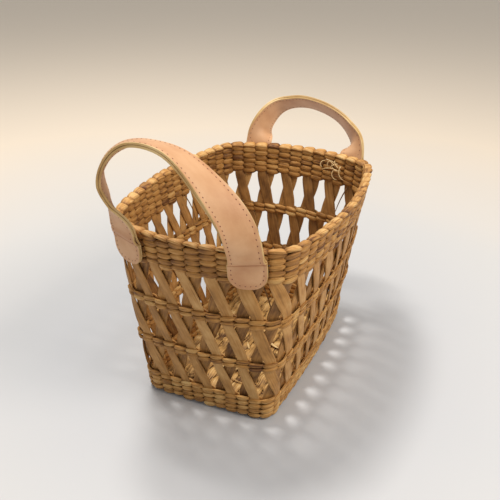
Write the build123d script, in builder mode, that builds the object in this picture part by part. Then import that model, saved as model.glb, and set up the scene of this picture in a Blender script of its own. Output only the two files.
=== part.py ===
"""Straw basket with open cross-staked walls and two leather handles, in millimetres.

The origin is the middle of the underside. +X runs lengthwise towards the far handle, +Y to the
left long wall, +Z up. The wall is twined: two layers of flat straw stakes lean opposite ways, and
weavers hold them in bands, one run of straw outside the stakes and one inside. Stiff straw runs
straight from stake to stake and bends between them, so every run has one flat face for each stake.
All of it is built from one description of the wall's middle surface.
"""

import os
from math import asin, atan2, cos, degrees, hypot, radians, sin, sqrt

from build123d import *

os.makedirs("parts", exist_ok=True)

# Overall sizes, measured outside the straw
height = 180.0
base_length = 214.0
base_width = 128.0
rim_length = 276.0
rim_width = 201.0

# Plan of the base and of the rim: corner radii, and the radii of the bowed sides
base_corner_radius = 22.0
rim_corner_radius = 40.0
base_end_radius = 900.0
rim_end_radius = 160.0
base_side_radius = 1500.0
rim_side_radius = 400.0

# Straw: flat stakes in two layers, and the runs of weaver that hold them
crossings = 29
crossing_shift = -0.05
stake_thickness = 1.2
stake_width_base = 8.4
stake_width_rim = 10.8
layer_gap = 0.8
seat_gap = 0.5
weaver_thickness = 2.5
groove_depth = 1.6

# Heights of the woven bands; the tiers between them are open
bottom_band_top = 24.0
lower_fitching_bottom = 56.0
lower_fitching_top = 68.0
upper_fitching_bottom = 102.0
upper_fitching_top = 114.0
top_band_bottom = 148.0
border_height = 4.5
border_lip = 0.6
bottom_rows = 4
fitching_rows = 2
top_rows = 5
inner_bottom_rows = 1
inner_fitching_rows = 1
inner_top_rows = 2

# Base mat: cross strips below, long strips on them
strip_thickness = 1.4
long_strips = 12
cross_strips = 17
strip_share = 0.86

# Leather handles: a lined strap whose ends are sewn flat to the wall as tabs
strap_width = 28.0
leather_thickness = 1.9
lining_gap = 0.2
tab_width = 31.5
tab_thickness = 3.0
tab_length = 22.0
tab_corner_radius = 13.0
tab_spacing = 108.0
tab_middle = 2.5
crease_height = 168.0
crease_gap = 1.6
foot_height = 178.0
hinge_above_rim = 3.5
hinge_clearance = 1.5
near_lean = 7.0
far_lean = 50.0
flex_share = 0.105
flex_steps = 3
strap_steps = 20
twist_start = 0.05

# The arch of each strap in its own plane, from right leg to left: across, and up from the hinge.
# The twists are how far the strap has turned out of the wall, in degrees, at even steps between.
near_arch = [(-47, 13), (-26, 45), (8, 72), (34, 73), (58, 59), (70, 38), (65, 18)]
near_twists = [52, 73, 91, 107, 106, 84, 64, 52]
far_arch = [(-56, 12), (-46, 26), (-28, 41), (-5, 51), (18, 54), (40, 46), (51, 27)]
far_twists = [72, 88, 97, 102, 105, 104, 85, 64]

wall_half = layer_gap / 2 + stake_thickness + seat_gap + weaver_thickness
run_back = wall_half - weaver_thickness
strap_half = leather_thickness + lining_gap / 2
stakes_round = 2 * crossings
hinge_height = height + hinge_above_rim


def mix(low, high, share):
    """The value at a share of the way from low to high."""
    return low + (high - low) * share


def save(shape, label):
    """Names a finished piece and writes it."""
    shape.label = label
    export_step(shape, f"parts/{label}.step")


class Plan:
    """The wall's middle line at one height: four bowed sides joined by four corner arcs."""

    def __init__(self, z):
        share = z / height
        self.half_x = mix(base_length, rim_length, share) / 2 - wall_half
        self.half_y = mix(base_width, rim_width, share) / 2 - wall_half
        self.end_r = 1 / mix(1 / base_end_radius, 1 / rim_end_radius, share) - wall_half
        self.side_r = 1 / mix(1 / base_side_radius, 1 / rim_side_radius, share) - wall_half
        self.corner_r = mix(base_corner_radius, rim_corner_radius, share) - wall_half
        self.end_x = self.half_x - self.end_r
        self.side_y = self.half_y - self.side_r

        # The corner arc touches an end arc and a side arc from inside
        end_reach = self.end_r - self.corner_r
        side_reach = self.side_r - self.corner_r
        apart = hypot(self.end_x, self.side_y)
        along = (end_reach**2 - side_reach**2 + apart**2) / (2 * apart)
        across = sqrt(end_reach**2 - along**2)
        ux, uy = -self.end_x / apart, self.side_y / apart
        self.corner_x = self.end_x + along * ux - across * uy
        self.corner_y = along * uy + across * ux

    def arcs(self):
        """The arcs as centre, radius, start and turn in degrees, anticlockwise from the +X end."""
        end = degrees(atan2(self.corner_y, self.corner_x - self.end_x))
        side = degrees(atan2(self.corner_y - self.side_y, self.corner_x))
        x, y, r = self.corner_x, self.corner_y, self.corner_r
        return [
            ((self.end_x, 0), self.end_r, 0, end),
            ((x, y), r, end, side - end),
            ((0, self.side_y), self.side_r, side, 180 - 2 * side),
            ((-x, y), r, 180 - side, side - end),
            ((-self.end_x, 0), self.end_r, 180 - end, 2 * end),
            ((-x, -y), r, 180 + end, side - end),
            ((0, -self.side_y), self.side_r, 180 + side, 180 - 2 * side),
            ((x, -y), r, 360 - side, side - end),
            ((self.end_x, 0), self.end_r, 360 - end, end),
        ]

    def length(self):
        """Length of the middle line."""
        return sum(radius * radians(turn) for _, radius, _, turn in self.arcs())

    def point(self, share, offset):
        """The point at a share of the middle line's length, moved outwards by the offset."""
        left = (share % 1) * self.length()
        for centre, radius, start, turn in self.arcs():
            arc_length = radius * radians(turn)
            if left <= arc_length:
                break
            left -= arc_length
        angle = radians(start) + left / radius
        reach = radius + offset
        return (centre[0] + reach * cos(angle), centre[1] + reach * sin(angle))


def flat_faced_strip(sections):
    """A strip through a run of four-cornered sections, with flat three-cornered faces between.

    Faces on opposite sides are divided the same way, so that two strips can lie on each other.
    """
    faces = [corner_face(sections[0]), corner_face(sections[-1])]
    for low, high in zip(sections, sections[1:]):
        for first, last in ((0, 1), (1, 2), (3, 2), (0, 3)):
            faces.append(corner_face([low[first], low[last], high[last]]))
            faces.append(corner_face([low[first], high[last], high[first]]))
    return Solid(Shell(faces))


def corner_face(corners):
    """A flat face between its corners."""
    return Face(Wire.make_polygon(corners))


def ring(z, offset):
    """The wall's outline at one height: one straight face in front of each stake."""
    plan = Plan(z)
    shares = [(n + 2 * crossing_shift) / stakes_round for n in range(stakes_round)]
    with BuildLine() as line:
        Polyline([plan.point(share, offset) for share in shares], close=True)
    return line.edges()


def ribbed_heights(bottom, top, rows):
    """Heights of the grooves and ridges of a band, as (height, share of the way to the ridge)."""
    step = (top - bottom) / (2 * rows)
    return [(bottom + n * step, n % 2) for n in range(2 * rows + 1)]


def outer_weave(label, bottom, top, rows):
    """The weavers' run outside the stakes: flat behind, a ridge for each row in front."""
    with BuildPart() as weave:
        for z, ridge in ribbed_heights(bottom, top, rows):
            with BuildSketch(Plane.XY.offset(z)):
                make_face(ring(z, mix(wall_half - groove_depth, wall_half, ridge)))
        loft(ruled=True)
        for z in (bottom, top):
            with BuildSketch(Plane.XY.offset(z)):
                make_face(ring(z, run_back))
        loft(ruled=True, mode=Mode.SUBTRACT)
    save(weave.part, label)


def inner_weave(label, bottom, top, rows):
    """The weavers' run inside the stakes, the same the other way round."""
    with BuildPart() as weave:
        for z in (bottom, top):
            with BuildSketch(Plane.XY.offset(z)):
                make_face(ring(z, -run_back))
        loft(ruled=True)
        for z, ridge in ribbed_heights(bottom, top, rows):
            with BuildSketch(Plane.XY.offset(z)):
                make_face(ring(z, -mix(wall_half - groove_depth, wall_half, ridge)))
        loft(ruled=True, mode=Mode.SUBTRACT)
    save(weave.part, label)


# Bands of twined rows, from the floor up
mat_height = 2 * strip_thickness
border_bottom = height - border_height
outer_weave("bottom_band_outer_weave", 0, bottom_band_top, bottom_rows)
inner_weave("bottom_band_inner_weave", mat_height + seat_gap, bottom_band_top, inner_bottom_rows)
outer_weave("lower_fitching_outer_weave", lower_fitching_bottom, lower_fitching_top, fitching_rows)
inner_weave("lower_fitching_inner_weave", lower_fitching_bottom, lower_fitching_top, inner_fitching_rows)
outer_weave("upper_fitching_outer_weave", upper_fitching_bottom, upper_fitching_top, fitching_rows)
inner_weave("upper_fitching_inner_weave", upper_fitching_bottom, upper_fitching_top, inner_fitching_rows)
outer_weave("top_band_outer_weave", top_band_bottom, border_bottom, top_rows)
inner_weave("top_band_inner_weave", top_band_bottom, border_bottom, inner_top_rows)

# Rim border, the folded ends that close the top over both runs and the stakes
border_profile = [(border_bottom + seat_gap, border_lip), (height, -border_lip)]
with BuildPart() as rim_border:
    for z, proud in border_profile:
        with BuildSketch(Plane.XY.offset(z)):
            make_face(ring(z, wall_half + proud))
    loft(ruled=True)
    for z, proud in border_profile:
        with BuildSketch(Plane.XY.offset(z)):
            make_face(ring(z, -wall_half - proud))
    loft(ruled=True, mode=Mode.SUBTRACT)
save(rim_border.part, "rim_border")


# Stakes: upright inside the bands, leaning by half a pitch in each open tier, so that a stake of
# the outer layer and one of the inner layer cross in the middle of the tier
def stake_stations(around_corner):
    """Heights where a stake bends, with how many half pitches it has leaned there."""
    tiers = [
        (bottom_band_top, lower_fitching_bottom),
        (lower_fitching_top, upper_fitching_bottom),
        (upper_fitching_top, top_band_bottom),
    ]
    stations = [(0, 0.5)]
    for n, (bottom, top) in enumerate(tiers):
        stations.append((bottom, n + 0.5))
        if around_corner:
            stations.append(((bottom + top) / 2, n + 1))
        stations.append((top, n + 1.5))
    stations.append((border_bottom, len(tiers) + 0.5))
    return stations


def stake(number, side):
    """One stake; side is 1 in the outer layer, which leans clockwise, and -1 in the inner one."""
    near_face = side * layer_gap / 2
    far_face = side * (layer_gap / 2 + stake_thickness)
    sections = []
    for z, leaned in stake_stations(passes_corner(number, side)):
        plan = Plan(z)
        half = mix(stake_width_base, stake_width_rim, z / height) / 2 / plan.length()
        middle = stake_share(number, side, leaned)
        edges = ((-half, near_face), (half, near_face), (half, far_face), (-half, far_face))
        sections.append([Vector(*plan.point(middle + move, offset), z) for move, offset in edges])
    return flat_faced_strip(sections)


def stake_share(number, side, leaned):
    """Where a stake's middle is, as a share of the way round, once it has leaned so far."""
    return (number + crossing_shift - side * leaned / 2) / crossings


def passes_corner(number, side):
    """Whether any part of a stake's path lies on a corner arc or beside it."""
    for z, leaned in stake_stations(True):
        plan = Plan(z)
        x, y = plan.point(stake_share(number, side, leaned), 0)
        if abs(x) > plan.corner_x - stake_width_rim and abs(y) > plan.corner_y - stake_width_rim:
            return True
    return False


def wall_name(point):
    """The wall that a point of the plan lies on, by the larger share of its half size."""
    across, along = point[0] / rim_length, point[1] / rim_width
    if abs(across) > abs(along):
        return "far" if across > 0 else "near"
    return "left" if along > 0 else "right"


middle_height = (upper_fitching_bottom + lower_fitching_top) / 2
for side, layer in ((1, "outer"), (-1, "inner")):
    walls = {"near": [], "far": [], "left": [], "right": []}
    for number in range(crossings):
        middle = Plan(middle_height).point(stake_share(number, side, 2), 0)
        walls[wall_name(middle)].append(stake(number, side))
    for wall, pieces in walls.items():
        with BuildPart() as stakes:
            add(pieces)
        save(stakes.part, f"{layer}_stakes_{wall}_wall")


# Base mat: strips that run under the inner weave to the stakes
def base_strips(label, bottom, count, lengthwise):
    """One layer of parallel strips, cut off at the wall."""
    reach = base_width if lengthwise else base_length
    pitch = (reach - 2 * run_back - 2 * wall_half) / count
    with BuildPart() as mat:
        with BuildSketch(Plane.XY.offset(bottom)):
            if lengthwise:
                with GridLocations(0, pitch, 1, count):
                    Rectangle(base_length, strip_share * pitch)
            else:
                with GridLocations(pitch, 0, count, 1):
                    Rectangle(strip_share * pitch, base_width)
            make_face(ring(0, -run_back), mode=Mode.INTERSECT)
        extrude(amount=strip_thickness)
    save(mat.part, label)


base_strips("base_cross_strips", 0, cross_strips, lengthwise=False)
base_strips("base_long_strips", strip_thickness, long_strips, lengthwise=True)


# Handles
def end_wall_point(end, y, z, offset):
    """A point of an end wall, at a distance outside the middle surface."""
    plan = Plan(z)
    reach = plan.end_r + offset
    return Vector(end * (plan.end_x + sqrt(reach**2 - y**2)), y, z)


def end_wall_turn(y, z, offset):
    """How far the end wall has turned away from Y at a point, in degrees."""
    return degrees(asin(abs(y) / (Plan(z).end_r + offset)))


def end_wall_plane(end, y, z, offset):
    """A plane flat on an end wall: x along it anticlockwise, y up it, z outwards."""
    step = 1.0
    up = end_wall_point(end, y, z + step, offset) - end_wall_point(end, y, z - step, offset)
    turn = radians(end_wall_turn(y, z, offset))
    along = Vector(-sin(turn) * y / abs(y), end * cos(turn), 0)
    return Plane(origin=end_wall_point(end, y, z, offset), x_dir=along, z_dir=along.cross(up))


# The strap's middle lies this far outside the wall's middle surface, a little further where it
# passes the rim border, and the hinge axis this far from the basket's middle
strap_offset = wall_half + seat_gap + strap_half
foot_offset = strap_offset + border_lip + hinge_clearance


def tab_places(end):
    """Where the right and the left tab sit across an end wall; the far wall is the near one turned."""
    return [side * tab_spacing / 2 - end * tab_middle for side in (-1, 1)]


hinge_reach = -end_wall_point(-1, tab_places(-1)[0], height, foot_offset).X


def strap_line(end, lean, arch):
    """The strap's middle line: up past the rim, over the arch, down to the left crease."""
    tilt = radians(lean)
    creases = [end_wall_point(end, y, crease_height + crease_gap, strap_offset) for y in tab_places(end)]
    feet = [end_wall_point(end, y, foot_height, foot_offset) for y in tab_places(end)]
    rises = [foot - crease for crease, foot in zip(creases, feet)]
    points = [
        Vector(end * (hinge_reach + up * sin(tilt)), across, hinge_height + up * cos(tilt))
        for across, up in arch
    ]
    with BuildLine() as line:
        Line(creases[0], feet[0])
        Spline(feet[0], *points, feet[1], tangents=(rises[0], -rises[1]))
        Line(feet[1], creases[1])
    return line.wires()[0]


def twist(end, share, twists):
    """How far the strap has turned out of the wall, eased through its values at even steps."""
    flat = [end_wall_turn(y, crease_height, strap_offset) for y in tab_places(end)]
    knots = [flat[0], flat[0], *twists, flat[1], flat[1]]
    steps = len(twists) + 1
    place = min(max((share - twist_start) / (1 - 2 * twist_start) * steps, 0), steps)
    n = min(int(place), steps - 1)
    t = place - n
    before, low, high, after = knots[n : n + 4]
    rise, fall = (high - before) / 2, (after - low) / 2
    eased = t * t * (3 - 2 * t)
    return mix(low, high, eased) + rise * t * (1 - t) ** 2 - fall * t * t * (1 - t)


def strap_section(line, end, lean, share, twists):
    """The strap's section plane: x across its width, y through its thickness.

    Below the strap proper it lies flat on the wall. Up each leg it twists until its width points
    outwards, square to the arch and a little past that.
    """
    tangent = (line % share).normalized()
    tilt = radians(lean)
    outward = Vector(end * cos(tilt), 0, -sin(tilt))
    outward = (outward - tangent * outward.dot(tangent)).normalized()
    inward = end * tangent.cross(outward)
    turn = radians(twist(end, share, twists))
    across = inward * cos(turn) + outward * sin(turn)
    return Plane(origin=line @ share, x_dir=across, z_dir=tangent)


def strap_layer(sections, offset, thickness):
    """One layer of leather through a run of section planes."""
    low, high = offset - thickness / 2, offset + thickness / 2
    half = strap_width / 2
    corners = ((-half, low), (half, low), (half, high), (-half, high))
    rings = [[section.from_local_coords(corner) for corner in corners] for section in sections]
    return flat_faced_strip(rings)


def tab(end, y, label):
    """A sewn end of the strap, flat on the wall, with a rounded bottom."""
    with BuildPart() as piece:
        with BuildSketch(end_wall_plane(end, y, crease_height, wall_half + seat_gap)) as outline:
            with Locations((0, -seat_gap / 2)):
                Rectangle(tab_width, tab_length, align=(Align.CENTER, Align.MAX))
            fillet(outline.vertices().group_by(Axis.Y)[0], tab_corner_radius)
        extrude(amount=tab_thickness)
    save(piece.part, label)


def handle(end, lean, arch, twists, name):
    """A handle: strap leather and lining, the leather that flexes at the creases, and two tabs."""
    line = strap_line(end, lean, arch)
    arch_share = 1 - 2 * flex_share
    strap_shares = [flex_share + arch_share * n / strap_steps for n in range(strap_steps + 1)]
    flex_shares = [flex_share * n / flex_steps for n in range(flex_steps + 1)]
    strap = [strap_section(line, end, lean, share, twists) for share in strap_shares]
    right = [strap_section(line, end, lean, share, twists) for share in flex_shares]
    left = [strap_section(line, end, lean, 1 - share, twists) for share in reversed(flex_shares)]
    layer_offset = -end * (leather_thickness + lining_gap) / 2
    outer_layer = strap_layer(strap, layer_offset, leather_thickness)
    lining_layer = strap_layer(strap, -layer_offset, leather_thickness)
    flexing = [strap_layer(leg, 0, 2 * strap_half) for leg in (right, left)]
    with BuildPart() as leather:
        add(outer_layer)
    save(leather.part, f"{name}_strap_leather")
    with BuildPart() as lining:
        add(lining_layer)
    save(lining.part, f"{name}_strap_lining")
    with BuildPart() as creases:
        add(flexing)
    save(creases.part, f"{name}_crease_leather")
    for y, side in zip(tab_places(end), ("right", "left")):
        tab(end, y, f"{name}_{side}_tab")


handle(-1, near_lean, near_arch, near_twists, "near_handle")
handle(1, far_lean, far_arch, far_twists, "far_handle")
print("hinge axes at x", -hinge_reach, hinge_reach, "and z", hinge_height)
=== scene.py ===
"""Straw basket with open cross-staked walls and two leather handles, dressed for rendering.

Sizes are in millimetres where they are written down and in metres in the meshes. The frame is the
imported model's: the origin is the middle of the underside, +X runs towards the far handle, +Z is up.
"""

import random
from math import asin, atan2, copysign, cos, degrees, hypot, pi, radians, sin, sqrt

import bmesh
import bpy
from mathutils import Matrix, Vector, noise


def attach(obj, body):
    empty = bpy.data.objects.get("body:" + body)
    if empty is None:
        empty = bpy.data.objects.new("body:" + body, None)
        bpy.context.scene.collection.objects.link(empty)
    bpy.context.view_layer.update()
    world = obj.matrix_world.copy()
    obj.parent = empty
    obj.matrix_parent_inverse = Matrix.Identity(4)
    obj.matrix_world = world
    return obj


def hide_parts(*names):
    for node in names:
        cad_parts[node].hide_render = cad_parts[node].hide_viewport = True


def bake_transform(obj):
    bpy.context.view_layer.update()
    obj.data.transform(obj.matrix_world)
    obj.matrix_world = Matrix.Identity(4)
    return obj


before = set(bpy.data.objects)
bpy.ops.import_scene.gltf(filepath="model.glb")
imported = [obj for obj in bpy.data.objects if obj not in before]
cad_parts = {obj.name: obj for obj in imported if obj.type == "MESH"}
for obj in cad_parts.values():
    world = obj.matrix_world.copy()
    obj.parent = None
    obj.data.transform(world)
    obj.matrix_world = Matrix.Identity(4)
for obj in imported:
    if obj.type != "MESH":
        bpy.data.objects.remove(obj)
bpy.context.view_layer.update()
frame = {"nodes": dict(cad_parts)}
random.seed(29)


# The stand: a pale table top that runs out of sight, two soft lamps and a bright room around them.
# The camera looks down on a corner of the basket from a little more than its own length away.
def hex_colour(code):
    """An sRGB hex colour as the linear colour that sockets take."""
    parts = [int(code[n : n + 2], 16) / 255 for n in (0, 2, 4)]
    linear = [part / 12.92 if part <= 0.04045 else ((part + 0.055) / 1.055) ** 2.4 for part in parts]
    return linear + [1]


def add(tree, kind, inputs=None, stops=None, **settings):
    """Adds a node: its own settings, its ramp stops, and a value or another node's output per input."""
    new = tree.nodes.new(kind)
    for name, value in settings.items():
        setattr(new, name, value)
    for n, (place, code) in enumerate(stops or []):
        ramp = new.color_ramp.elements
        stop = ramp[n] if n < len(ramp) else ramp.new(place)
        stop.position = place
        stop.color = hex_colour(code)
    for name, value in (inputs or {}).items():
        if isinstance(value, bpy.types.NodeSocket):
            tree.links.new(value, new.inputs[name])
        else:
            new.inputs[name].default_value = value
    return new


def new_material(name):
    """A material with an empty tree."""
    material = bpy.data.materials.new(name)
    material.use_nodes = True
    material.node_tree.nodes.clear()
    return material


def put_in_scene(name, shape, materials):
    """Makes a bmesh a smooth object of the scene, its faces outwards, and frees it."""
    bmesh.ops.recalc_face_normals(shape, faces=shape.faces)
    data = bpy.data.meshes.new(name)
    shape.to_mesh(data)
    shape.free()
    for polygon in data.polygons:
        polygon.use_smooth = True
    for material in materials:
        data.materials.append(material)
    piece = bpy.data.objects.new(name, data)
    bpy.context.scene.collection.objects.link(piece)
    return piece


# Laminate, pressed smooth: grey-white under the basket and a warmer white from half a metre away,
# where it is the backdrop. The warmer white is partly the backdrop's own colour and partly painted
# light: it is lighter there to make up for the lamps' light falling off further out.
table_top = new_material("white_laminate")
tree = table_top.node_tree
place = add(tree, "ShaderNodeTexCoord")
away = add(tree, "ShaderNodeVectorMath", {0: place.outputs["Object"]}, operation="LENGTH")
patches = add(
    tree,
    "ShaderNodeTexNoise",
    {"Vector": place.outputs["Object"], "Scale": 3.0, "Detail": 2.0},
)
blurred = add(
    tree,
    "ShaderNodeMath",
    {0: patches.outputs["Fac"], 1: 0.12, 2: away.outputs["Value"]},
    operation="MULTIPLY_ADD",
)
# Painted light: the colour lightens with the distance from the basket, where the lamps light the table
# less
tint = add(
    tree,
    "ShaderNodeValToRGB",
    {"Fac": blurred.outputs[0]},
    stops=[(0.25, "C0C4CB"), (0.45, "CDCED0"), (0.9, "F0E3D2")],
)
surface = add(tree, "ShaderNodeBsdfPrincipled", {"Base Color": tint.outputs["Color"], "Roughness": 0.5})
add(tree, "ShaderNodeOutputMaterial", {"Surface": surface.outputs["BSDF"]})

floor_shape = bmesh.new()
bmesh.ops.create_grid(floor_shape, x_segments=2, y_segments=2, size=14)
floor = put_in_scene("table_top", floor_shape, [table_top])

world = bpy.data.worlds.new("room")
bpy.context.scene.world = world
world.use_nodes = True
world.node_tree.nodes.clear()
sky = add(world.node_tree, "ShaderNodeBackground", {"Color": hex_colour("F6F3EE"), "Strength": 0.5})
add(world.node_tree, "ShaderNodeOutputWorld", {"Surface": sky.outputs["Background"]})

# Lamps: a warm one over the right long wall, and a stronger one overhead, a little behind the left
# wall, that throws the short shadow on the table
for name, where, size, power, tint in (
    ("front_lamp", (-0.15, -1.0, 1.05), 0.5, 10.5, "FFF5E8"),
    ("ceiling_lamp", (0.15, 0.45, 1.55), 0.35, 19.0, "FFF8EE"),
):
    lamp = bpy.data.lights.new(name, "AREA")
    lamp.size = size
    lamp.energy = power
    lamp.color = hex_colour(tint)[:3]
    holder = bpy.data.objects.new(name, lamp)
    bpy.context.scene.collection.objects.link(holder)
    holder.location = where
    holder.rotation_mode = "QUATERNION"
    holder.rotation_quaternion = (Vector((0, 0, 0.08)) - Vector(where)).to_track_quat("-Z", "Y")

camera_data = bpy.data.cameras.new("camera")
camera_data.sensor_width = 36
camera_data.lens = 49.44
camera = bpy.data.objects.new("camera", camera_data)
bpy.context.scene.collection.objects.link(camera)
yaw, pitch, roll = radians(23.478), radians(25.997), radians(0.681)
ahead = Vector((cos(pitch) * cos(yaw), cos(pitch) * sin(yaw), -sin(pitch)))
level = Vector((sin(yaw), -cos(yaw), 0))
above = level.cross(ahead)
right = level * cos(roll) + above * sin(roll)
up = above * cos(roll) - level * sin(roll)
turned = Matrix((right, up, -ahead)).transposed().to_4x4()
camera.matrix_world = Matrix.Translation((-0.55395, -0.23783, 0.40684)) @ turned
bpy.context.scene.camera = camera
bpy.context.scene.view_settings.view_transform = "Standard"


# The wall: no piece of its own, but the surface that every straw follows. Its plan is four bowed
# sides joined by four corner arcs, and it flares and rounds out from the base to the rim.
height = 180.0
base_length, base_width, rim_length, rim_width = 214.0, 135.0, 276.0, 201.0
base_corner, rim_corner = 14.0, 32.0
base_end, rim_end, base_side, rim_side = 900.0, 160.0, 1500.0, 400.0
wall_half = 4.6
crossings = 29
columns = 2 * crossings
crossing_shift = -0.05
outlines = {}


def mix(low, high, share):
    """The value at a share of the way from low to high."""
    return low + (high - low) * share


def outline(z):
    """The wall's middle line at one height: its arcs (centre, radius, start, turn) and its length."""
    key = round(z, 2)
    if key in outlines:
        return outlines[key]
    share = z / height
    half_x = mix(base_length, rim_length, share) / 2 - wall_half
    half_y = mix(base_width, rim_width, share) / 2 - wall_half
    end_r = 1 / mix(1 / base_end, 1 / rim_end, share) - wall_half
    side_r = 1 / mix(1 / base_side, 1 / rim_side, share) - wall_half
    corner_r = mix(base_corner, rim_corner, share) - wall_half
    end_x, side_y = half_x - end_r, half_y - side_r
    apart = hypot(end_x, side_y)
    along = ((end_r - corner_r) ** 2 - (side_r - corner_r) ** 2 + apart**2) / (2 * apart)
    across = sqrt((end_r - corner_r) ** 2 - along**2)
    ux, uy = -end_x / apart, side_y / apart
    x, y = end_x + along * ux - across * uy, along * uy + across * ux
    end = atan2(y, x - end_x)
    side = atan2(y - side_y, x)
    arcs = [
        (end_x, 0, end_r, 0, end),
        (x, y, corner_r, end, side - end),
        (0, side_y, side_r, side, pi - 2 * side),
        (-x, y, corner_r, pi - side, side - end),
        (-end_x, 0, end_r, pi - end, 2 * end),
        (-x, -y, corner_r, pi + end, side - end),
        (0, -side_y, side_r, pi + side, pi - 2 * side),
        (x, -y, corner_r, 2 * pi - side, side - end),
        (end_x, 0, end_r, 2 * pi - end, end),
    ]
    outlines[key] = arcs, sum(arc[2] * arc[4] for arc in arcs)
    return outlines[key]


def wall_spot(share, z, offset):
    """A spot of the wall and its outward direction; the offset is outside the middle line."""
    arcs, length = outline(z)
    left = (share % 1) * length
    for x, y, radius, start, turn in arcs:
        if left <= radius * turn + 1e-6:
            break
        left -= radius * turn
    angle = start + left / radius
    outward = Vector((cos(angle), sin(angle), 0))
    reach = radius + offset
    return Vector((x + reach * outward.x, y + reach * outward.y, z)), outward


# Straw: dried rush, brown to pale gold, with fine lengthwise fibres and a dull waxy skin. It was
# soaked to weave it, so that it dried in soft flat folds with darker patches.
def map_noise(tree, place, turns, detail, roughness=0.5):
    """Noise over a flat map; turns is how many spots of it one turn of the map holds each way."""
    spread = add(tree, "ShaderNodeMapping", {"Vector": place, "Scale": (*turns, 1)})
    return add(
        tree,
        "ShaderNodeTexNoise",
        {"Vector": spread.outputs["Vector"], "Scale": 1.0, "Detail": detail, "Roughness": roughness},
        noise_dimensions="2D",
    )


def straw_material(name, dark, middle, light, length, girth, streaks=0.9):
    """Dried rush; length and girth in millimetres are what one turn of the straw's own map holds.

    The attribute tone is how light a straw is, and own is a number that moves each straw's pattern
    away from its neighbours'. Streaks is how strongly the fibres and slits show.
    """
    material = new_material(name)
    tree = material.node_tree
    mapped = add(tree, "ShaderNodeUVMap")
    own = add(tree, "ShaderNodeAttribute", attribute_name="own")
    moved = add(
        tree,
        "ShaderNodeVectorMath",
        {0: mapped.outputs["UV"], 1: own.outputs["Vector"]},
        operation="ADD",
    )
    place = moved.outputs["Vector"]
    tone = add(tree, "ShaderNodeAttribute", attribute_name="tone")
    # Real fibres are about 0.3 mm apart; these are drawn 1.1 mm apart and 25 mm long, to show
    fibres = map_noise(tree, place, (length / 25, girth / 1.1), 3.0, 0.6)
    # Darker patches, about 14 mm long and 6 mm wide
    patches = map_noise(tree, place, (length / 14, girth / 6), 2.0)
    # Where the skin has split there is a dark slit, up to 45 mm long and 2 mm or more from the next
    splits = map_noise(tree, place, (length / 45, girth / 2.2), 1.0)
    opened = add(
        tree,
        "ShaderNodeMapRange",
        {
            "Value": splits.outputs["Fac"],
            "From Min": 0.27,
            "From Max": 0.38,
            "To Min": -0.28 * streaks,
            "To Max": 0.0,
        },
        interpolation_type="SMOOTHSTEP",
    )
    # The straw's tone, lightened and darkened by its fibres, patches and slits, picks the colour
    fibre_part = add(
        tree,
        "ShaderNodeMath",
        {0: fibres.outputs["Fac"], 1: streaks, 2: -streaks / 2},
        operation="MULTIPLY_ADD",
    )
    patch_part = add(
        tree,
        "ShaderNodeMath",
        {0: patches.outputs["Fac"], 1: 0.6, 2: -0.3},
        operation="MULTIPLY_ADD",
    )
    both = add(tree, "ShaderNodeMath", {0: fibre_part.outputs[0], 1: patch_part.outputs[0]})
    split = add(tree, "ShaderNodeMath", {0: both.outputs[0], 1: opened.outputs["Result"]})
    total = add(tree, "ShaderNodeMath", {0: split.outputs[0], 1: tone.outputs["Fac"]}, use_clamp=True)
    colour = add(
        tree,
        "ShaderNodeValToRGB",
        {"Fac": total.outputs[0]},
        stops=[(0.0, dark), (0.5, middle), (1.0, light)],
    )
    depth = add(
        tree,
        "ShaderNodeMath",
        {0: opened.outputs["Result"], 1: 1.5, 2: fibres.outputs["Fac"]},
        operation="MULTIPLY_ADD",
    )
    ridges = add(
        tree,
        "ShaderNodeBump",
        {"Height": depth.outputs[0], "Strength": 0.6, "Distance": 0.0006},
    )
    surface = add(
        tree,
        "ShaderNodeBsdfPrincipled",
        {
            "Base Color": colour.outputs["Color"],
            "Roughness": 0.56,
            "Specular IOR Level": 0.3,
            "Normal": ridges.outputs["Normal"],
        },
    )
    add(tree, "ShaderNodeOutputMaterial", {"Surface": surface.outputs["BSDF"]})
    return material


table_gap = 0.00002


def lay_straw(shape, stations, around=10, boxy=0.8, ribs=0.0):
    """A straw through stations of (middle, up, out, half height, half thickness, tone), in millimetres.

    The less boxy is, the flatter the straw's face; ribs is how far its middle and its edges stand
    up from the face, as a share of its thickness.
    """
    tone = shape.verts.layers.float.get("tone") or shape.verts.layers.float.new("tone")
    own = shape.verts.layers.float.get("own") or shape.verts.layers.float.new("own")
    number = random.uniform(0, 40)
    last = len(stations) - 1
    if not shape.loops.layers.uv:
        shape.loops.layers.uv.new("UVMap")
    grid = bmesh.ops.create_grid(shape, x_segments=last, y_segments=around, size=0.5, calc_uvs=True)
    made = grid["verts"]
    turns = []
    for n in range(around + 1):
        a, b = cos(2 * pi * n / around), sin(2 * pi * n / around)
        a, b = copysign(abs(a) ** 0.9, a), copysign(abs(b) ** boxy, b)
        turns.append((a, b * (1 + ribs * cos(2 * pi * a))))
    for vert in made:
        middle, up, out, half, thick, shade = stations[round((vert.co.x + 0.5) * last)]
        a, b = turns[round((vert.co.y + 0.5) * around)]
        vert.co = (middle + up * (a * half) + out * (b * thick)) / 1000
        # The lowest straws would dip into the table top; they end a fiftieth of a millimetre above it
        vert.co.z = max(vert.co.z, table_gap)
        vert[tone] = shade
        vert[own] = number
    bmesh.ops.remove_doubles(shape, verts=made, dist=1e-7)
    ends = {edge for vert in made if vert.is_valid for edge in vert.link_edges if edge.is_boundary}
    bmesh.ops.holes_fill(shape, edges=list(ends), sides=0)


# The wall leans out by this much for each millimetre of height
wall_flare = 0.19


def along_wall(column, z, offset):
    """The middle, up and out directions of a straw that runs round the wall; columns count stakes."""
    share = (column + 0.5 + 2 * crossing_shift) / columns
    middle, out = wall_spot(share, z, offset)
    up = (Vector((0, 0, 1)) + out * wall_flare).normalized()
    return middle, up, out


# Half the height and half the thickness of a stitch at its tips, where it dives between two stakes
tip_height, tip_thickness = 0.9, 0.5


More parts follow.
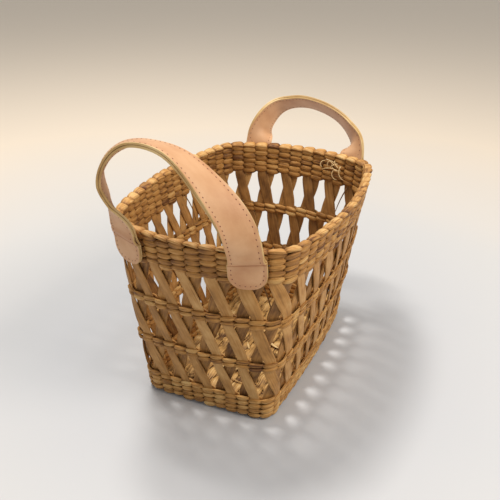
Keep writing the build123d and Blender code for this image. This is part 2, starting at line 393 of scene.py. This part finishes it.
def twined_row(shape, level, rise, slant, full, thick, swing, tone):
    """A row with a stitch outside and one inside each stake; the tips reach past the next ones'.

    The stitches of every other stake sit rise above the row's level and the rest as far below it,
    and each climbs by its slant on either side of its middle. Full and thick are a stitch's height
    and thickness, and swing is how far its middle lies from the middle of the wall.
    """
    for column in range(columns):
        for side in (1, -1):
            half, stout = full / 2 * random.uniform(0.92, 1.1), thick / 2 * random.uniform(0.88, 1.12)
            lift = rise * (-1) ** column * side + random.gauss(0, 0.18)
            proud = random.uniform(-0.25, 0.3)
            shade = tone + random.gauss(0, 0.12)
            reach = random.uniform(0.6, 0.68)
            stations = []
            for k in range(11):
                part = mix(-1, 1, k / 10)
                lens = max(1 - abs(part) ** 2.2, 0)
                offset = side * (swing * (1 - part**4) + proud * lens)
                z = level + lift + slant * part
                middle, up, out = along_wall(column + reach * part, z, offset)
                high, deep = mix(tip_height, half, lens), mix(tip_thickness, stout, lens**0.7)
                # Painted shade: each stitch darkens towards its tips, where it dives between the stakes
                stations.append((middle, up, out, high, deep, shade - 0.24 * part**4))
            lay_straw(shape, stations, around=8)


def twined_band(name, nodes, bottom, top, rows, **twining):
    """A band of equal rows between two heights, in place of the given nodes."""
    shape = bmesh.new()
    pitch = (top - bottom) / rows
    for row in range(rows):
        twined = bmesh.new()
        twined_row(twined, bottom + (row + 0.5) * pitch, **twining)
        data = bpy.data.meshes.new("row")
        twined.to_mesh(data)
        twined.free()
        shape.from_mesh(data)
        bpy.data.meshes.remove(data)
    band = put_in_scene(name, shape, [weaver_straw])
    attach(band, "basket")
    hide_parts(*nodes)


# Bottom band: four rows of twined rush that turn the stakes up from the floor mat. They stand on
# the table and have been rubbed most, so they are the palest.
weaver_straw = straw_material("dried_rush_weaver", "613B1B", "B48244", "DDB97B", 22, 17)
twined_band(
    "bottom_band", ["bottom_band_outer_weave", "bottom_band_inner_weave"], bottom=1.4, top=24.4, rows=4,
    rise=0.7, slant=0.9, full=6.2, thick=3.0, swing=2.1, tone=0.55,
)

# Fitchings: the two narrow bands that pair the stakes up between the open tiers, each two rows of
# twined rush, tighter and thinner than the rest.
for name, bottom in (("lower_fitching", 57.2), ("upper_fitching", 103.2)):
    twined_band(
        name, [f"{name}_outer_weave", f"{name}_inner_weave"], bottom=bottom, top=bottom + 9.6, rows=2,
        rise=0.3, slant=0.9, full=5.2, thick=2.7, swing=2.5, tone=0.48,
    )

# Top band: five rows of twined rush under the rim, pulled tight so that each stitch is a short
# fat lens and the stitches of every other stake sit half a row lower.
twined_band(
    "top_band", ["top_band_outer_weave", "top_band_inner_weave"], bottom=148.2, top=176.2, rows=5,
    rise=1.3, slant=0.4, full=6.6, thick=2.8, swing=2.2, tone=0.40,
)

# Rim border: the cut end of each stake is folded down over the rim and tucked under its neighbour,
# so that the rim looks like a row of short pale blocks from above, with a dark notch between two;
# the notch is partly the blocks' dip and partly painted shade on their ends.
border_straw = straw_material("dried_rush_border", "61391A", "BB894C", "E5C488", 20, 22)
border_level, border_droop, border_reach, border_roll = 177.6, 1.2, 0.53, 78
shape = bmesh.new()
for column in range(columns):
    size = random.uniform(0.92, 1.08)
    skew = random.uniform(0.0, 0.4)
    shade = 0.56 + random.gauss(0, 0.12)
    stations = []
    for n in range(11):
        part = mix(-1, 1, n / 10)
        fall = part**4
        z = border_level - border_droop * fall
        middle, up, out = along_wall(column + border_reach * part, z, 0.1 + skew * part)
        lean = radians(border_roll) + 0.22 * part
        across = out * sin(lean) + up * cos(lean)
        over = up * sin(lean) - out * cos(lean)
        half, thick = mix(4.4, 3.1, fall) * size, mix(2.1, 1.1, fall) * size
        # Painted shade: each block darkens towards its ends, where it dips under its neighbour
        stations.append((middle, across, over, half, thick, shade - 0.4 * fall))
    lay_straw(shape, stations)
rim = put_in_scene("rim_border_straw", shape, [border_straw])
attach(rim, "basket")
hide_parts("rim_border")


# Stakes: flattened rush, two layers of 29. They lean half a pitch in each open tier, the outer layer
# one way round and the inner one the other, and so cross midway. They stand upright in the bands,
# but those of the far wall do some of their leaning there, which leaves six-sided openings.
tiers = [(24.0, 56.0), (68.0, 102.0), (114.0, 148.0)]
band_half = 6.0
stake_foot, stake_head = 1.5, 175.0
stake_steps = 52
far_wall_hidden = 0.34


def stake_lean(z, hidden):
    """How many half pitches a stake has leaned at a height; hidden is the share that bands cover."""
    leaned = 0.5
    for bottom, top in tiers:
        leaned += (1 - hidden) * min(max((z - bottom) / (top - bottom), 0), 1)
        for level in (bottom - band_half, top):
            leaned += hidden / 2 * min(max((z - level) / band_half, 0), 1)
    return leaned


def stake_waist(z):
    """1 in the middle of an open tier, less where a band nips the stake."""
    for bottom, top in tiers:
        if bottom < z < top:
            return sin(pi * (z - bottom) / (top - bottom)) ** 0.5
    return 0.0


def stake_layer(name, side, nodes, tone):
    """One layer of stakes; side is 1 for the outer layer and -1 for the inner one."""
    shape = bmesh.new()
    heights = [mix(stake_foot, stake_head, n / stake_steps) for n in range(stake_steps + 1)]
    for number in range(crossings):
        width = random.uniform(0.95, 1.1)
        turn = random.uniform(-0.12, 0.12)
        sway = random.uniform(-0.06, 0.06)
        shade = tone + random.gauss(0, 0.10)
        seed = random.uniform(0, 90)
        # All of it along the far wall, where the count of the stakes starts, and none elsewhere
        hidden = far_wall_hidden * min(max(2 * cos(2 * pi * number / crossings) - 0.8, 0), 1)
        stations = []
        for z in heights:
            waist = stake_waist(z)
            place = number + crossing_shift - side * stake_lean(z, hidden) / 2 + sway * waist * 0.5
            middle, out = wall_spot(place / crossings, z, side * mix(1.0, 1.3, waist))
            along = out.cross(Vector((0, 0, 1)))
            tilt = turn * waist
            across = along * cos(tilt) + out * sin(tilt)
            proud = out * cos(tilt) - along * sin(tilt)
            uneven = noise.noise(Vector((seed, z / 16, 0)))
            plump = mix(0.86, 1.08, waist) * width * (1 + 0.10 * uneven)
            half = mix(9.4, 12.0, z / height) / 2 * plump
            thick = mix(0.75, 1.05, waist) * (1 + 0.2 * uneven)
            stations.append((middle, across, proud, half, thick, shade + 0.1 * uneven))
        lay_straw(shape, stations, around=16, boxy=0.6, ribs=0.08)
    layer = put_in_scene(name, shape, [stake_straw])
    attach(layer, "basket")
    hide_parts(*nodes)


stake_straw = straw_material("dried_rush_stake", "5E3D20", "B08148", "D8B076", 180, 22, streaks=0.45)
# The inner layer's lower tone is painted shade for the inside of the basket, which the lamps light less
for name, side, tone in (("outer_stakes", 1, 0.52), ("inner_stakes", -1, 0.34)):
    stake_layer(name, side, [f"{name}_{wall}_wall" for wall in ("near", "far", "left", "right")], tone)


# Floor mat: broad soft rushes plaited over and under each other, across and along, whose ends run
# out under the bottom band. Each swells where it is on top and is pinched where it dips, and the
# long ones lie a little higher than the cross ones.
mat_straw = straw_material("dried_rush_mat", "553619", "C49A5C", "F0D49C", 200, 22)
shape = bmesh.new()
cross_count, long_count = 17, 12
reach_x, reach_y = base_length / 2 - wall_half - 2.1, base_width / 2 - wall_half - 2.1
cross_pitch, long_pitch = 2 * reach_x / cross_count, 2 * reach_y / long_count
mat_corner = 14.0
mat_steps = 96
long_rise = 0.35
for n in range(cross_count + long_count):
    lengthwise = n >= cross_count
    number = n - cross_count if lengthwise else n
    count, pitch = (long_count, long_pitch) if lengthwise else (cross_count, cross_pitch)
    other = cross_pitch if lengthwise else long_pitch
    reach = reach_x if lengthwise else reach_y
    beside = (number - (count - 1) / 2) * pitch
    inset = max(0, abs(beside) - ((reach_y if lengthwise else reach_x) - mat_corner))
    reach -= mat_corner - sqrt(mat_corner**2 - inset**2)
    shade = 0.55 + random.gauss(0, 0.08)
    over = 1 if (number + lengthwise) % 2 else -1
    shift, rise = (0, long_rise) if lengthwise else (0.5, -long_rise)
    stations = []
    for k in range(mat_steps + 1):
        along = mix(-reach, reach, k / mat_steps)
        wave = (over * cos(pi * (along / other + shift)) + rise) / (1 + long_rise)
        top = max(wave, 0) ** 0.6
        z = 1.7 + 0.85 * copysign(abs(wave) ** 0.7, wave)
        middle = Vector((along, beside, z)) if lengthwise else Vector((beside, along, z))
        across = Vector((0, 1, 0)) if lengthwise else Vector((1, 0, 0))
        spread = noise.noise(Vector((along / 7, number * 3.1, 4.0 * lengthwise)))
        width = pitch * (0.44 + 0.08 * top + 0.05 * spread)
        thick = 0.75 + 0.35 * top
        # Painted shade: a rush darkens where it dips under the crossing one
        light = shade + 0.25 * spread - 0.25 * (1 - top)
        stations.append((middle, across, Vector((0, 0, 1)), width, thick, light))
    lay_straw(shape, stations, boxy=0.9)
mat = put_in_scene("floor_mat", shape, [mat_straw])
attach(mat, "basket")
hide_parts("base_cross_strips", "base_long_strips")


# Loose ends: broken bits of rush that have dropped on the mat, and a dozen thin dark ends of stakes
# that have come away from the bands and hang in the open tiers.
shape = bmesh.new()
for n in range(30):
    heading = random.uniform(0, pi)
    length = random.uniform(7, 24)
    x, y = random.uniform(-reach_x + 14, reach_x - 14), random.uniform(-reach_y + 14, reach_y - 14)
    ahead = Vector((cos(heading), sin(heading), 0))
    beside = Vector((-sin(heading), cos(heading), 0))
    bow = random.uniform(-2.0, 2.0)
    slope = random.uniform(0.0, 0.16)
    half = random.uniform(0.6, 2.1)
    shade = random.choice((0.2, 0.6, 0.8, 0.9)) + random.gauss(0, 0.05)
    stations = []
    for k in range(7):
        part = k / 6
        middle = Vector((x, y, 4.0)) + ahead * ((part - 0.5) * length) + beside * (bow * sin(pi * part))
        middle.z += slope * length * part
        wide = half * (0.35 + 0.65 * sin(pi * part))
        stations.append((middle, beside, Vector((0, 0, 1)), wide, 0.4, shade))
    lay_straw(shape, stations, around=6)
bits = put_in_scene("mat_bits", shape, [mat_straw])
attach(bits, "basket")

# Each by its column, the heights of its root and its tip, how far it leans and lies inside, and half
# its width
shape = bmesh.new()
for column, root, tip, leaned, inside, half in (
    (23.4, 62, 34, -0.9, 3.0, 0.9), (25.2, 108, 74, 1.1, 3.6, 1.1), (27.7, 63, 30, 1.0, 3.2, 0.8),
    (30.6, 109, 82, -0.8, 3.4, 1.0), (33.1, 148, 118, 0.9, 3.3, 1.0), (21.3, 148, 121, 1.0, 3.0, 1.2),
    (21.7, 104, 80, 0.2, -3.6, 1.5), (41.5, 62, 33, 0.9, 3.4, 1.0), (47.8, 109, 80, -1.0, 3.6, 0.9),
    (52.9, 148, 119, 0.8, 3.4, 0.9), (12.4, 148, 117, -0.9, 3.5, 1.0), (5.8, 108, 79, 1.0, 3.3, 0.9),
):
    stations = []
    for k in range(9):
        part = k / 8
        offset = -inside - 2.5 * sin(pi * part)
        middle, up, out = along_wall(column + leaned * part, mix(root, tip, part), offset)
        across = out.cross(Vector((0, 0, 1)))
        stations.append((middle, across, out, half * (1 - 0.55 * part), 0.45, 0.05 + 0.3 * part))
    lay_straw(shape, stations, around=6)
ends = put_in_scene("loose_ends", shape, [stake_straw])
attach(ends, "basket")


# Raffia knot: a wisp of dried palm raffia tied through the top band inside the far end wall. It is
# paler and thinner than the rush, and its nine strands curl.
def end_wall_point(end, y, z, offset):
    """A point of an end wall, at a distance outside the middle surface."""
    centre, _, end_r, _, _ = outline(z)[0][0]
    return Vector((end * (centre + sqrt((end_r + offset) ** 2 - y**2)), y, z))


raffia = straw_material("dried_raffia", "A9814C", "DDBB84", "F6E3BC", 120, 6)
shape = bmesh.new()
for strand in range(9):
    start_y, start_z = random.uniform(-54, -26), random.uniform(163, 171)
    heading, length, curl = random.uniform(-0.9, 0.9), random.uniform(8, 18), random.uniform(-3.6, 3.6)
    y, z = start_y, start_z
    stations = []
    for k in range(15):
        heading += curl / 14
        y += cos(heading) * length / 14
        z = min(z + sin(heading) * length / 14, 173)
        spot = end_wall_point(1, y, z, -wall_half - 0.9 - 1.2 * sin(pi * k / 14))
        across = Vector((0, -sin(heading), cos(heading)))
        stations.append((spot, across, Vector((-1, 0, 0)), 0.8 - 0.03 * k, 0.4, 0.55))
    lay_straw(shape, stations, around=6)
knot = put_in_scene("raffia_knot", shape, [raffia])
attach(knot, "basket")


# Handles: each a strap of vegetable-tanned leather with a lining, sewn together along both edges.
# Its ends lie flat on the end wall as rounded tabs, and it folds at a crease just above them.
strap_width, tab_width, leather_thickness = 28.0, 31.5, 1.9
crease_height, foot_height, hinge_height, tab_length = 168.0, 178.0, 183.5, 22.0
crease_gap = 1.6
seat_gap, lining_gap, clearance = 0.5, 0.2, 1.5
strap_half = leather_thickness + lining_gap / 2
strap_offset = wall_half + seat_gap + strap_half
foot_offset = strap_offset + 0.6 + clearance
hinge_reach = 134.336
twist_start = 0.05
tab_spread, tab_shift = 54.0, 2.5
tab_corner, tab_steps = 13.0, 14
tab_half, tab_upright = 1.5, 0.985
stitch_inset, stitch_pitch = 3.0, 4.2
stitch_long, stitch_wide, stitch_high = 1.6, 0.85, 0.5


def end_wall_turn(y, z, offset):
    """How far the end wall has turned away from Y at a point, in radians."""
    end_r = outline(z)[0][0][2]
    return asin(abs(y) / (end_r + offset))


def smooth_line(points, start, finish, steps):
    """Points of a smooth curve through the given ones, leaving and arriving in given directions."""
    gaps = [(b - a).length for a, b in zip(points, points[1:])]
    slopes = [start.normalized()]
    for n in range(1, len(points) - 1):
        before, after = (points[n] - points[n - 1]) / gaps[n - 1], (points[n + 1] - points[n]) / gaps[n]
        slopes.append((before * gaps[n] + after * gaps[n - 1]) / (gaps[n] + gaps[n - 1]))
    slopes.append(finish.normalized())
    line = []
    for n, gap in enumerate(gaps):
        a, b, p, q = points[n], points[n + 1], slopes[n] * gap, slopes[n + 1] * gap
        for k in range(steps):
            t = k / steps
            line.append(
                a * (2 * t**3 - 3 * t**2 + 1) + p * (t**3 - 2 * t**2 + t)
                + b * (3 * t**2 - 2 * t**3) + q * (t**3 - t**2)
            )
    return line + [points[-1]]


def tab_places(end):
    """The middles of the right and left tab along Y; the far ones are the near ones half a turn on."""
    return [side * tab_spread - end * tab_shift for side in (-1, 1)]


def twist(end, share, twists):
    """How far the strap has turned about its own line at a share of its length, in degrees."""
    flat = [degrees(end_wall_turn(y, crease_height, strap_offset)) for y in tab_places(end)]
    knots = [flat[0], flat[0], *twists, flat[1], flat[1]]
    steps = len(twists) + 1
    place = min(max((share - twist_start) / (1 - 2 * twist_start) * steps, 0), steps)
    n = min(int(place), steps - 1)
    t = place - n
    before, low, high, after = knots[n : n + 4]
    eased = t * t * (3 - 2 * t)
    leaving = (high - before) / 2 * t * (1 - t) ** 2
    arriving = (after - low) / 2 * t * t * (1 - t)
    return mix(low, high, eased) + leaving - arriving


def strap_frames(end, lean, arch, twists):
    """The strap's middle line: (spot, along, across, proud, millimetres from the right end) of each."""
    tilt = radians(lean)
    places = tab_places(end)
    creases = [end_wall_point(end, y, crease_height + crease_gap, strap_offset) for y in places]
    feet = [end_wall_point(end, y, foot_height, foot_offset) for y in places]
    rises = [foot - crease for crease, foot in zip(creases, feet)]
    points = [
        Vector((end * (hinge_reach + up * sin(tilt)), across, hinge_height + up * cos(tilt)))
        for across, up in arch
    ]
    middle = smooth_line([feet[0], *points, feet[1]], rises[0], -rises[1], 10)
    first = [creases[0] + rises[0] * k / 4 for k in range(4)]
    last = [feet[1] - rises[1] * k / 4 for k in range(1, 5)]
    line = first + middle + last
    walked = [0.0]
    for a, b in zip(line, line[1:]):
        walked.append(walked[-1] + (b - a).length)
    frames = []
    for n, spot in enumerate(line):
        before, after = line[max(n - 1, 0)], line[min(n + 1, len(line) - 1)]
        along = (after - before).normalized()
        outward = Vector((end * cos(tilt), 0, -sin(tilt)))
        outward = (outward - along * outward.dot(along)).normalized()
        inward = end * along.cross(outward)
        turn = radians(twist(end, walked[n] / walked[-1], twists))
        across = inward * cos(turn) + outward * sin(turn)
        frames.append((spot, along, across, along.cross(across), walked[n]))
    return frames


def handle_frames(end, lean, arch, twists):
    """The strap's frames and the tabs', each with half a width and half a thickness added."""
    frames = []
    strap = strap_frames(end, lean, arch, twists)
    total = strap[-1][4]
    tabs = []
    for side, y in enumerate(tab_places(end)):
        tab = []
        for k in range(tab_steps + 1):
            down = tab_length * (1 - (1 - k / tab_steps) ** 1.6) if k < tab_steps else tab_length - 0.02
            z = crease_height - down * tab_upright
            spot = end_wall_point(end, y, z, wall_half + seat_gap + tab_half)
            lower = end_wall_point(end, y, z - 1, wall_half + seat_gap + tab_half)
            higher = end_wall_point(end, y, z + 1, wall_half + seat_gap + tab_half)
            along = (higher - lower).normalized() * (1 if side == 0 else -1)
            flat = strap[0 if side == 0 else -1][2]
            across = (flat - along * flat.dot(along)).normalized()
            left = max(0, tab_corner - (tab_length - down))
            half = tab_width / 2 - tab_corner + sqrt(max(tab_corner**2 - left**2, 0))
            walked = -down if side == 0 else total + down
            tab.append((spot, along, across, along.cross(across), walked, half, tab_half))
        tabs.append(tab)
    frames.extend(reversed(tabs[0][1:]))
    for spot, along, across, proud, walked in strap:
        near_end = min(walked, total - walked)
        half = mix(tab_width, strap_width, min(near_end / 3.0, 1)) / 2
        frames.append((spot, along, across, proud, walked, half, strap_half))
    frames.extend(tabs[1][1:])
    # More frames on both sides of each crease, where the leather bends most
    folds = []
    for by in (-1.1, -0.7, -0.35, 0.35, 0.7, 1.1):
        folds += [between_frames(frames, at + by) for at in (0, total)]
    return sorted(frames + folds, key=lambda frame: frame[4]), total


def between_frames(frames, walked):
    """The frame at any distance walked along the leather."""
    n = next((k for k, frame in enumerate(frames) if frame[4] > walked), len(frames) - 1)
    low, high = frames[max(n - 1, 0)], frames[max(n, 1)]
    share = (walked - low[4]) / max(high[4] - low[4], 1e-6)
    return [a.lerp(b, share) if isinstance(a, Vector) else mix(a, b, share) for a, b in zip(low, high)]


def leather_material(name, dark, middle, light, grain, fold):
    """Vegetable-tanned leather: pale peach, mottled, with fine pores and creases where it folds; fold is
    how strongly painted shade darkens it at a crease.
    """
    material = new_material(name)
    tree = material.node_tree
    uv = add(tree, "ShaderNodeUVMap")
    folded = add(tree, "ShaderNodeAttribute", attribute_name="fold")
    # One turn of the map is 290 mm long and 60 mm round
    length, girth = 290, 60
    place = uv.outputs["UV"]
    # Tanned unevenly: clouds about 26 mm long and 16 mm wide
    clouds = map_noise(tree, place, (length / 26, girth / 16), 4.0, 0.55)
    # Pores are about 0.2 mm wide; these are drawn 0.9 mm wide, to show
    pores = map_noise(tree, place, (length / 0.9, girth / 0.9), 2.0)
    # Fold lines run across the strap, about 2.5 mm apart
    lines = map_noise(tree, place, (length / 2.5, girth / 30), 1.0)
    # Painted shade: at a crease the fold attribute pulls the colour down towards the darkest stop
    clouds_and_crease_shade = add(
        tree,
        "ShaderNodeMath",
        {0: folded.outputs["Fac"], 1: fold, 2: clouds.outputs["Fac"]},
        operation="MULTIPLY_ADD",
    )
    colour = add(
        tree,
        "ShaderNodeValToRGB",
        {"Fac": clouds_and_crease_shade.outputs[0]},
        stops=[(0.0, "A8764F"), (0.3, dark), (0.5, middle), (0.72, light)],
    )
    wrinkled = add(
        tree,
        "ShaderNodeMath",
        {0: lines.outputs["Fac"], 1: folded.outputs["Fac"]},
        operation="MULTIPLY",
    )
    depth = add(
        tree,
        "ShaderNodeMath",
        {0: wrinkled.outputs[0], 1: 6.0, 2: pores.outputs["Fac"]},
        operation="MULTIPLY_ADD",
    )
    relief = add(
        tree,
        "ShaderNodeBump",
        {"Height": depth.outputs[0], "Strength": grain, "Distance": 0.0002},
    )
    surface = add(
        tree,
        "ShaderNodeBsdfPrincipled",
        {
            "Base Color": colour.outputs["Color"],
            "Roughness": 0.5,
            "Specular IOR Level": 0.35,
            "Sheen Weight": 0.05,
            "Normal": relief.outputs["Normal"],
        },
    )
    add(tree, "ShaderNodeOutputMaterial", {"Surface": surface.outputs["BSDF"]})
    return material


# The grain side is smooth and pale pink. The cut edges are raw, yellower and fibrous.
# The last number is how strongly painted shade darkens each at a crease
face_leather = leather_material("veg_tan_leather_grain_side", "C18F68", "CC9E76", "D6AB84", 0.35, -0.3)
edge_leather = leather_material("veg_tan_leather_cut_edge", "B58F58", "CDAC74", "DFC592", 0.8, -0.2)

# Across one leather: its outline, as shares of half the width and of half the thickness. The stitches
# pull a groove 3 mm from each edge of its face; its back is flat, and its cut edges are rounded.
leather_outline = [
    (-1.0, 0.7), (-0.97, 1.0), (-0.84, 0.98), (-0.79, 0.84), (-0.74, 0.98), (-0.4, 1.02), (0.0, 1.04),
    (0.4, 1.02), (0.74, 0.98), (0.79, 0.84), (0.84, 0.98), (0.97, 1.0), (1.0, 0.7),
    (1.0, -0.7), (0.97, -1.0), (0.4, -1.0), (0.0, -1.0), (-0.4, -1.0), (-0.97, -1.0), (-1.0, -0.7),
]
leather_corners = {n for n, (a, b) in enumerate(leather_outline) if abs(a) > 0.9}


def crease_bulge(walked, total):
    """How far the outer leather stands proud where it folds above a tab, in millimetres."""
    near_end = min(walked, total - walked)
    line = 0.8 * max(0, 1 - abs(near_end) / 0.8)
    return 1.0 * sin(pi * min(max(near_end / 9, 0), 1)) ** 0.6 - line


def leather_depth(side, thick, b, walked, total):
    """How far a spot of a leather is from the middle of the two, in millimetres."""
    each = (2 * thick - lining_gap) / 4
    depth = side * (each + lining_gap / 2)
    if side > 0:
        depth += crease_bulge(walked, total)
    return depth + side * b * each


def finish_leather(piece):
    """Bakes a leather's placement into its mesh."""
    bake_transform(piece)


def leather_layer(name, frames, total, side, nodes, end):
    """One leather of a handle; side is 1 for the outer one, whose face is away from the basket."""
    shape = bmesh.new()
    shape.loops.layers.uv.new("UVMap")
    fold = shape.verts.layers.float.new("fold")
    last, around = len(frames) - 1, len(leather_outline)
    grid = bmesh.ops.create_grid(shape, x_segments=last, y_segments=around, size=0.5, calc_uvs=True)
    made = grid["verts"]
    for edge in shape.edges:
        rows = {round((vert.co.y + 0.5) * around) % around for vert in edge.verts}
        edge.smooth = len(rows) > 1 or not rows <= leather_corners
    for face in shape.faces:
        row = int((face.calc_center_median().y + 0.5) * around)
        face.material_index = int({row % around, (row + 1) % around} <= leather_corners)
    for vert in made:
        spot, along, across, proud, walked, half, thick = frames[round((vert.co.x + 0.5) * last)]
        a, b = leather_outline[round((vert.co.y + 0.5) * around) % around]
        depth = leather_depth(side, thick, b, walked, total)
        near_end = min(walked, total - walked)
        # How near a crease a spot is, for its wrinkles and for the painted shade there
        vert[fold] = max(0, 1 - abs(near_end) / 1.2) + 0.3 * max(0, 1 - abs(near_end - 3) / 6)
        vert.co = (spot + across * (a * half) - proud * (end * depth)) / 1000
    bmesh.ops.remove_doubles(shape, verts=made, dist=1e-7)
    ends = [edge for edge in shape.edges if edge.is_boundary]
    for face in bmesh.ops.holes_fill(shape, edges=ends, sides=0)["faces"]:
        face.material_index = 1
    layer = put_in_scene(name, shape, [face_leather, edge_leather])
    finish_leather(layer)
    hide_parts(*nodes)


# Stitches: waxed dark red-brown thread in hand-punched holes 4.2 mm apart, 3 mm from the edge. They
# hold the leather and its lining together, and the tabs to the wall.
thread = new_material("waxed_thread")
tree = thread.node_tree
place = add(tree, "ShaderNodeTexCoord")
# Painted light and shade: the twist of the plies shows as dark and light spots 1.1 mm long
ply_light_and_shade = add(
    tree,
    "ShaderNodeTexNoise",
    {"Vector": place.outputs["Object"], "Scale": 900.0, "Detail": 1.0},
)
dye_and_ply_shade = add(
    tree,
    "ShaderNodeValToRGB",
    {"Fac": ply_light_and_shade.outputs["Fac"]},
    stops=[(0.3, "54241A"), (0.7, "8A4630")],
)
surface = add(tree, "ShaderNodeBsdfPrincipled", {"Base Color": dye_and_ply_shade.outputs["Color"], "Roughness": 0.45})
add(tree, "ShaderNodeOutputMaterial", {"Surface": surface.outputs["BSDF"]})


def stitch_line(total, low, wide):
    """A run of stitches along one edge, from end to end of the leather, in millimetres.

    Each is (how far along the leather, how far from its middle, which way it points).
    """
    bend = 10.0
    slim = strap_width / 2 - stitch_inset
    points = [(low, 0.0)]
    for k in range(9):
        turned = pi * k / 16
        points.append((low + bend * (1 - cos(turned)), wide - bend * (1 - sin(turned))))
    points += [(max(0.0, low + bend + 0.1), wide), (max(3.0, low + bend + 1), slim)]
    points += [(total - along, across) for along, across in reversed(points)]
    line, carried = [], stitch_pitch / 2
    for (a, b), (c, d) in zip(points, points[1:]):
        length = hypot(c - a, d - b)
        while carried <= length and length > 0:
            share = carried / length
            line.append((mix(a, c, share), mix(b, d, share), atan2(d - b, c - a)))
            carried += stitch_pitch
        carried -= length
    return line


def stitches(name, frames, total, end):
    """Both faces' stitches; those of the lining leave out the tabs, where only the straw sees them."""
    shape = bmesh.new()
    faces = (
        (1, stitch_inset - tab_length, tab_width / 2 - stitch_inset),
        (-1, 6.0, strap_width / 2 - stitch_inset),
    )
    for side, low, wide in faces:
        for walked, across_by, heading in stitch_line(total, low, wide):
            for mirrored in (1, -1):
                spot, along, across, proud, _, _, thick = between_frames(frames, walked)
                depth = leather_depth(side, thick, 0.9, walked, total)
                middle = spot + across * (mirrored * across_by) - proud * (end * depth)
                turned = heading * mirrored + 0.2 * side
                ahead = (along * cos(turned) + across * sin(turned)).normalized()
                face = (proud * -end * side).normalized()
                beside = face.cross(ahead).normalized()
                sides = Matrix((ahead * stitch_long, beside * stitch_wide, face * stitch_high))
                bmesh.ops.create_uvsphere(
                    shape, u_segments=6, v_segments=4, radius=0.5,
                    matrix=Matrix.Translation(middle / 1000)
                    @ Matrix.Scale(0.001, 4)
                    @ sides.transposed().to_4x4(),
                )
    sewn = put_in_scene(name, shape, [thread])
    finish_leather(sewn)


# Each strap by its lean in degrees, the points that its arch runs through (across the basket and up
# from the hinge), and how far it is twisted at even steps from its right end to its left
near_arch = [(-47, 13), (-26, 45), (8, 72), (34, 73), (58, 59), (70, 38), (65, 18)]
near_twists = [52, 73, 91, 107, 106, 84, 64, 52]
far_arch = [(-56, 12), (-46, 26), (-28, 41), (-5, 51), (18, 54), (40, 46), (51, 27)]
far_twists = [72, 88, 97, 102, 105, 104, 85, 64]
for end, lean, arch, twists, body in (
    (-1, 7.0, near_arch, near_twists, "near_handle"),
    (1, 50.0, far_arch, far_twists, "far_handle"),
):
    frames, total = handle_frames(end, lean, arch, twists)
    leather_layer(
        f"{body}_leather", frames, total, 1,
        [f"{body}_strap_leather", f"{body}_crease_leather", f"{body}_right_tab", f"{body}_left_tab"],
        end,
    )
    leather_layer(
        f"{body}_lining", frames, total, -1, [f"{body}_strap_lining"], end
    )
    stitches(f"{body}_stitches", frames, total, end)
